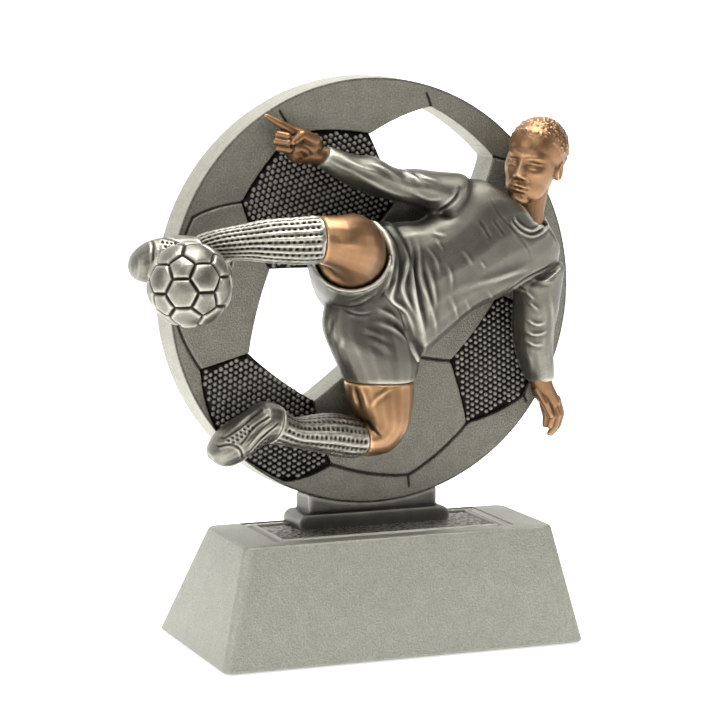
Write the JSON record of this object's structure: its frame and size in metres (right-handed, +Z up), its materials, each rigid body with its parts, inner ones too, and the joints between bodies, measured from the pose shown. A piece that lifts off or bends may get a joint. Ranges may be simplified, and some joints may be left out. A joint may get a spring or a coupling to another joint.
{
  "type": "figure trophy",
  "caption": "Free-standing resin football award: a volleying player in silver and bronze high relief on an openwork football disc, pedestal and tapered base block.",
  "frame": {"origin": "the middle of the felt pad's underside, where the award rests on a shelf", "axes": "+Z up through the disc, -Y out of the front of the award towards the viewer, +X to the viewer's right"},
  "size_m": [0.1352, 0.0706, 0.1606],
  "materials": {
    "silver_base": "satin metallic silver paint on cast resin, fine sandy grain",
    "pewter": "antique pewter metallic paint, sandy grain, darker in the grooves",
    "dark_ground": "dark patinated ground with rubbed lighter high points",
    "silver_figure": "antique silver paint, bright on the folds and dark in the creases",
    "bronze_skin": "antique copper-bronze paint, satin, brown in the creases",
    "felt": "short-pile felt",
    "steel_fixings": "plain zinc-plated steel",
    "brass_inserts": "turned brass"
  },
  "bodies": {
    "root": {"base_block": "silver_base", "felt_pad": "felt", "top_inlay": "dark_ground", "pedestal": "pewter", "backdrop_disc": "pewter", "upper_pebble_panel": "dark_ground", "lower_pebble_panel": "dark_ground", "right_pebble_panel": "dark_ground", "jersey": "silver_figure", "raised_sleeve": "silver_figure", "lowered_sleeve": "silver_figure", "shorts": "silver_figure", "head": "bronze_skin", "raised_hand": "bronze_skin", "lowered_hand": "bronze_skin", "kicking_knee": "bronze_skin", "kicking_sock": "silver_figure", "kicking_boot": "silver_figure", "trailing_knee": "bronze_skin", "trailing_sock": "silver_figure", "trailing_boot": "silver_figure", "match_ball": "silver_figure", "figure_dowels": "steel_fixings", "joint_pins": "steel_fixings", "disc_pins": "steel_fixings", "clamp_screws": "steel_fixings", "screw_washers": "steel_fixings", "pedestal_inserts": "brass_inserts"}
  },
  "joints": []
}
